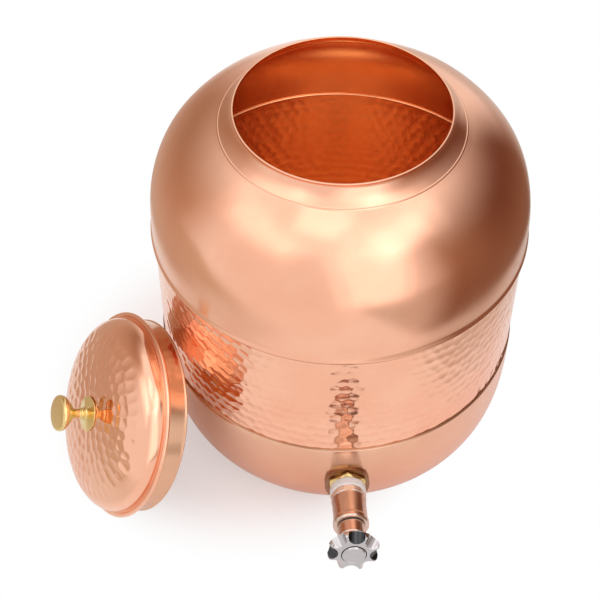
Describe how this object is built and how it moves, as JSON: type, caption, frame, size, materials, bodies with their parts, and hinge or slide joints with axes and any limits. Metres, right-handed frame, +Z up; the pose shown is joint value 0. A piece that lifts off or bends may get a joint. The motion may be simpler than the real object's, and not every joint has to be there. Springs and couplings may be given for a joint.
{
  "type": "copper water dispenser",
  "caption": "Round hammered copper water pot with a domed shoulder, open mouth, screw-down tap with lobed knob near the base, and a loose domed lid leaning on its side.",
  "frame": {"origin": "middle of the flat base, on the surface that the pot stands on", "axes": "+Z up along the pot's axis, -Y towards the tap"},
  "size_m": [0.365, 0.353, 0.317],
  "materials": {
    "copper_satin": "satin-polished spun copper sheet",
    "copper_hammered": "polished hammered copper sheet",
    "copper_polished": "smooth polished copper sheet",
    "copper_plate": "copper-plated cast brass",
    "brass": "machined yellow brass",
    "brass_polished": "polished turned brass",
    "chrome": "bright chrome plate",
    "chrome_satin": "satin chrome plate",
    "steel": "plain steel",
    "white_plastic": "white moulded plastic",
    "black_rubber": "black moulded rubber"
  },
  "bodies": {
    "pot": {"shoulder_dome": "copper_satin", "hammered_band": "copper_hammered", "base_bowl": "copper_polished", "tap_seat": "copper_polished", "threaded_nipple": "brass", "inner_washer": "black_rubber", "inner_lock_nut": "brass", "outer_nut": "brass", "spacer_washer": "white_plastic", "tap_body": "copper_plate", "bonnet": "copper_plate", "bonnet_seal": "black_rubber"},
    "knob": {"spindle": "brass", "spindle_ring": "black_rubber", "spindle_clip": "steel", "tap_knob": "chrome", "knob_cap": "chrome_satin", "knob_screw": "steel"},
    "valve": {"valve_carrier": "brass", "valve_disc": "black_rubber", "valve_screw": "brass"},
    "lid": {"lid_dome": "copper_hammered", "lid_skirt": "copper_satin", "lid_knob": "brass_polished", "knob_rosette": "brass_polished", "lid_screw": "brass", "lid_pad": "brass"}
  },
  "joints": [
    {"name": "tap_turn", "type": "hinge", "parent": "pot", "child": "knob", "pos_m": [0, -0.1432, 0.064], "axis": [0, -0.9848, 0.1736], "range_deg": [0, 540]},
    {"name": "valve_lift", "type": "slide", "parent": "pot", "child": "valve", "axis": [0, -0.9848, 0.1736], "range_m": [0, 0.0037]},
    {"name": "lid_away", "type": "slide", "parent": "pot", "child": "lid", "axis": [-0.8459, -0.2748, 0.4571], "range_m": [0, 0.25]}
  ],
  "couplings": [
    {"joint": "valve_lift", "follows": "tap_turn", "m_per_rad": 0.00038197}
  ]
}
